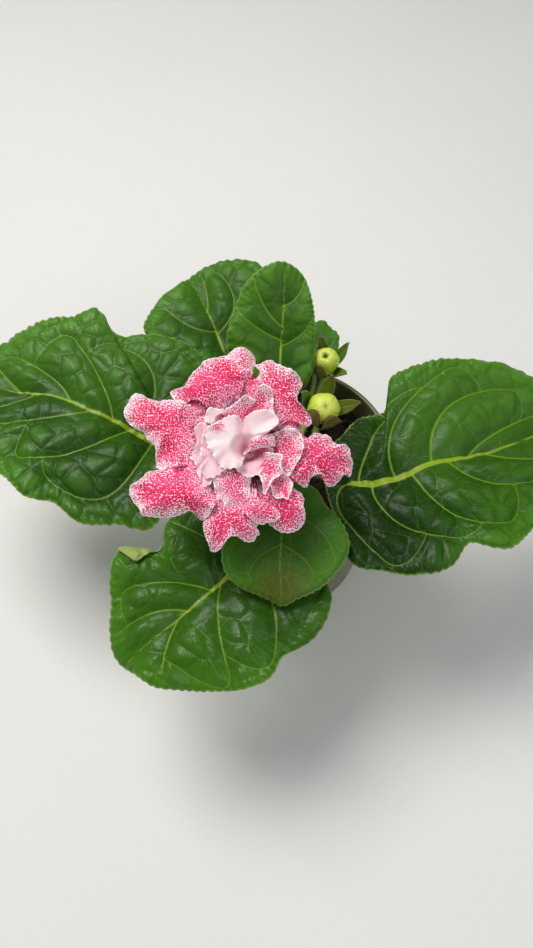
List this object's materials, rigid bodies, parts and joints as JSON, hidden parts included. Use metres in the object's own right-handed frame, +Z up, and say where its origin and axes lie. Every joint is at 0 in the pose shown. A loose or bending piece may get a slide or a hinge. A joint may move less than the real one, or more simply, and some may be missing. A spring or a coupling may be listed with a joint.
{
  "type": "potted gloxinia",
  "caption": "Double ruffled pink and white gloxinia in bloom with buds and broad quilted leaves, in a plain round plastic pot.",
  "frame": {"origin": "centre of the pot's underside, on the surface that the pot stands on", "axes": "+Z up, +X to the right of the bloom's front, -Y to the front, where the bloom faces"},
  "size_m": [0.3397, 0.2468, 0.1884],
  "materials": {
    "pot_plastic": "thin moulded olive plastic, satin",
    "peat": "dark crumbly moist peat",
    "tuber": "brown corky skin, matt",
    "leaf": "deep green, quilted between the veins, glossy with fine hairs",
    "spotted_petal": "crimson pink with white netting and a white crimped edge, soft satin",
    "pale_petal": "blush white, soft satin",
    "stalk": "light green, finely hairy",
    "bud": "lime yellow, finely hairy, satin"
  },
  "bodies": {
    "root": {"pot": "pot_plastic", "soil": "peat", "tuber_and_crown": "tuber", "leaf_left": "leaf", "leaf_right": "leaf", "leaf_back_left": "leaf", "leaf_top": "leaf", "leaf_front": "leaf", "leaf_front_left": "leaf", "leaf_small_back": "leaf", "flower_spotted_petals": "spotted_petal", "flower_pale_petals": "pale_petal", "flower_stalk_and_calyx": "stalk", "bud_back": "bud", "bud_back_stalk_and_calyx": "stalk", "bud_front": "bud", "bud_front_stalk_and_calyx": "stalk"}
  },
  "joints": []
}
